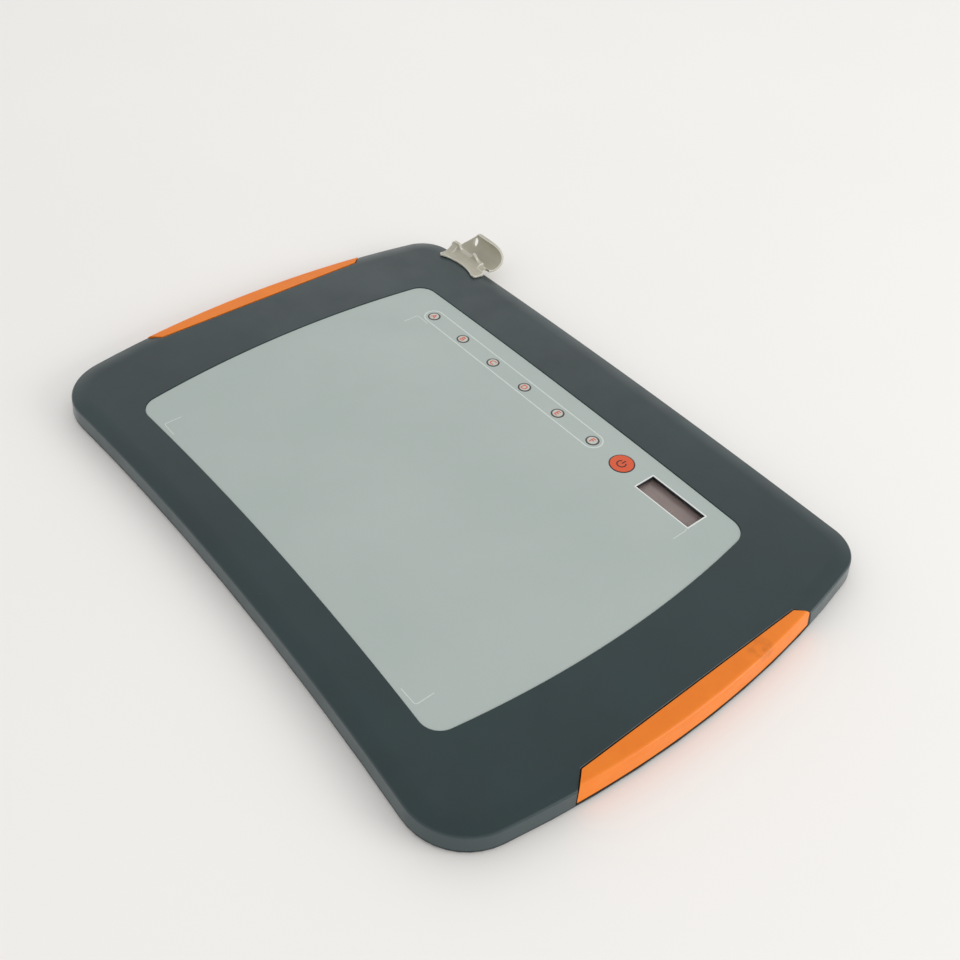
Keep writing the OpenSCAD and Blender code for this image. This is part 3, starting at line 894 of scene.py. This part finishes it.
def grip(name, node, s):
    lo, hi = span(node)
    top = hi.z
    levels = [(lo.z, 0.75), (lo.z + 0.35, 0.5)] + rounded_edge(2.2, 1.7, top, 1.3, 10)
    obj = stack(name, case_plan, levels)
    combine(obj, [prism("mask", grip_plan(0, s), 0, top + 2)], "INTERSECT")
    cleaned(obj)
    shade(obj, 40, 0.28, 3, 50)
    return piece(obj, "case", [node], GRIP)


grip("right_grip_pad", "right_grip", 1)
grip("left_grip_pad", "left_grip", -1)


# ---- pen holder ----


CRADLE_Y, CRADLE_Z, CRADLE_R, CRADLE_WALL = 127.5, 16.4, 6.6, 1.6
SPINE_Y, NEAR_Y = 120.2, 124


def hull(circles, n=64):
    """Convex outline round circles (x, y, r), anticlockwise; x counts from the holder's middle."""
    points = sorted({p for x, y, r in circles for p in circle(HOLDER_X + x, y, r, n)})
    chains = []
    for run in (points, points[::-1]):
        chain = []
        for p in run:
            while len(chain) > 1 and (chain[-1][0] - chain[-2][0]) * (p[1] - chain[-2][1]) <= (
                chain[-1][1] - chain[-2][1]
            ) * (p[0] - chain[-2][0]):
                chain.pop()
            chain.append(p)
        chains += chain[:-1]
    return chains


def along_x(name, points, x0, x1):
    """Prism along X of an outline in Y and Z."""
    return upright(loft(name, [[(x, y, z) for y, z in points] for x in (x0, x1)]))


def along_y(name, points, y0, y1):
    """Prism along Y of an outline in X and Z."""
    return upright(loft(name, [[(x, y, z) for x, z in points] for y in (y0, y1)]))


def saddle():
    """Plate on the case: a foot at each end, a hollow front edge and a neck to the spine."""
    plan = hull([(-13.5, 110.4, 1.6), (15.2, 111.5, 1.6), (15.5, 115.6, 1.6), (-13.5, 116, 1.6)])
    obj = prism("saddle", plan, 8, 20)
    combine(obj, [block("neck", (HOLDER_X - 12, 113, 8), (HOLDER_X + 10.5, 125, 20))], "UNION")
    top = [(108, 13.5), (110.4, 13.5), (112, 13.2), (115, 13.3), (117.5, 13.8), (119.4, 14.8), (122, 14.8)]
    side = [(108, 8)] + top + [(122, 8)]
    combine(obj, [along_x("side", side, HOLDER_X - 30, HOLDER_X + 30)], "INTERSECT")
    cheek = [(111.5, 11), (111.5, 12.6), (116, 14.2), (120, 17.2), (122, 17.2), (122, 11)]
    combine(obj, [along_x("cheek", cheek, HOLDER_X - 15.1, HOLDER_X - 10.5)], "UNION")
    case = stack("case", case_plan, [(0, -0.15)] + case_levels(0.15))
    return combine(obj, [prism("front", circle(HOLDER_X + 1, 82.5, 30, 160), 0, 30), case])


def cradle():
    """Trough with a high round far wall and a low near wall that dips between a wing and a peak."""
    turns = [radians(162 + (360 + 76 - 162) * i / 72) for i in range(73)]
    rim = [(CRADLE_R + CRADLE_WALL, turns), (CRADLE_R, turns[::-1])]
    section = [(CRADLE_Y + r * cos(a), CRADLE_Z + r * sin(a)) for r, angles in rim for a in angles]
    ring = along_x("ring", section, HOLDER_X - 20, HOLDER_X + 14)
    far = along_y("far", hull([(2, 10.6, 11.6), (-4, 13.6, 8.4), (-16, 8.6, 3.4)]), NEAR_Y, NEAR_Y + 14)
    near = along_y("near", hull([(-0.5, 7.5, 11.6), (-13, 14, 4), (-13, 6, 3)]), NEAR_Y - 6, NEAR_Y + 0.01)
    combine(near, [along_y("notch", circle(HOLDER_X - 3.2, 20.4, 6.6), NEAR_Y - 7, NEAR_Y + 1)])
    return combine(ring, [combine(far, [near], "UNION")], "INTERSECT")


def pen_holder():
    """The clip, fused and softened like a moulding."""
    obj = saddle()
    inner = span("pen_holder")[0].y
    spine = block("spine", (HOLDER_X - 12, SPINE_Y, 3.6), (HOLDER_X + 7.5, SPINE_Y + 1.8, CRADLE_Z - 3))
    tongue = block("tongue", (HOLDER_X - 9.8, inner, 5.3), (HOLDER_X + 9.8, SPINE_Y + 0.2, 7.1))
    combine(obj, [cradle(), spine, tongue], "UNION")
    slot = hull([(-11.1, 12.9, 1.5), (-11.1, 15.1, 1.5)])
    combine(obj, [along_y("slot", slot, CRADLE_Y, CRADLE_Y + 20)])
    obj.name = "pen_holder_clip"
    m = obj.modifiers.new("fuse", "REMESH")
    m.mode, m.voxel_size = "VOXEL", 0.28 * MM
    m = obj.modifiers.new("soften", "SMOOTH")
    m.factor, m.iterations = 0.5, 5
    bake(obj)
    return piece(shade(obj, 80), "pen_holder", ["pen_holder"], HOLDER)


pen_holder()


# ---- CAD nodes that stay, with their finish ----

dress("rear_cover", COVER, 0.12)
dress("battery_door", COVER, 0.15)
dress("lcd_window", WINDOW, 0.05)
dress("lcd_module", LCD, 0.05)
dress("digitizer_board", BOARD)
dress("main_board", BOARD)
dress("antenna_board", BOARD)
dress("shield_plate", FOIL)
dress("digitizer_ribbon", FLEX)
dress("lcd_ribbon", FLEX)
dress("processor_chip", CHIP, 0.1)
dress("memory_chip", CHIP, 0.1)
dress("crystal_can", CAN, 0.2)
dress("radio_module", CAN, 0.2)
dress("antenna_cable", CABLE_BLACK)
dress("key_domes", DOME)
dress("battery_pack", WRAP, 1.2, 4)
dress("battery_pads", FOAM, 0.15)
dress("battery_cable", CABLE_RED)
dress("battery_plug", PLUG, 0.25)
dress("charge_socket", SOCKET, 0.15)
dress("power_switch", SLIDER, 0.1)
dress("power_slider", SLIDER, 0.2)
dress("case_screws", SCREW, 0.08)
dress("board_screws", SCREW, 0.05)
dress("rubber_feet", RUBBER, 0.25, 3)


# ---- stage and light ----


def stage_floor():
    size = 3.0
    corners = ((-1, -1), (1, -1), (1, 1), (-1, 1))
    obj = make("floor", [(x * size / MM, y * size / MM, 0) for x, y in corners], [(0, 1, 2, 3)])
    f = Finish("floor_paint", 0.55)
    f.colour(f.mix(f.curve(f.noise(400, 3), 0.35, 0.65), linear(247, 246, 244), linear(249, 248, 246)))
    obj.data.materials.append(f.material)


stage_floor()

world = bpy.data.worlds.new("world")
scene.world = world
world.use_nodes = True
nodes, links = world.node_tree.nodes, world.node_tree.links
sky = nodes.new("ShaderNodeTexCoord")
height = nodes.new("ShaderNodeSeparateXYZ")
tone = nodes.new("ShaderNodeMapRange")
links.new(sky.outputs["Generated"], height.inputs[0])
links.new(height.outputs["Z"], tone.inputs["Value"])
for key, value in (("From Min", 0.1), ("From Max", 1.0), ("To Min", 1.08), ("To Max", 0.64)):
    tone.inputs[key].default_value = value
links.new(tone.outputs["Result"], nodes["Background"].inputs["Strength"])
nodes["Background"].inputs["Color"].default_value = (1.0, 0.99, 0.98, 1)


def soft_light(name, place, aim, width, power, colour=(1, 1, 1)):
    data = bpy.data.lights.new(name, "AREA")
    data.shape, data.size, data.size_y = "RECTANGLE", width[0], width[1]
    data.energy, data.color = power, colour
    obj = bpy.data.objects.new(name, data)
    scene.collection.objects.link(obj)
    obj.location = place
    obj.rotation_euler = (Vector(aim) - Vector(place)).to_track_quat("-Z", "Y").to_euler()


soft_light("window", (1.35, 0.85, 0.6), (0, 0, 0), (0.9, 0.6), 9.5, (1, 0.99, 0.97))
soft_light("far_fill", (-1.2, 1.3, 1.0), (-0.5, 0.55, 0), (1.6, 0.9), 1.8, (1, 0.99, 0.98))

scene.view_settings.view_transform = "Standard"
scene.view_settings.look = "None"
scene.view_settings.exposure = 0
scene.view_settings.gamma = 1
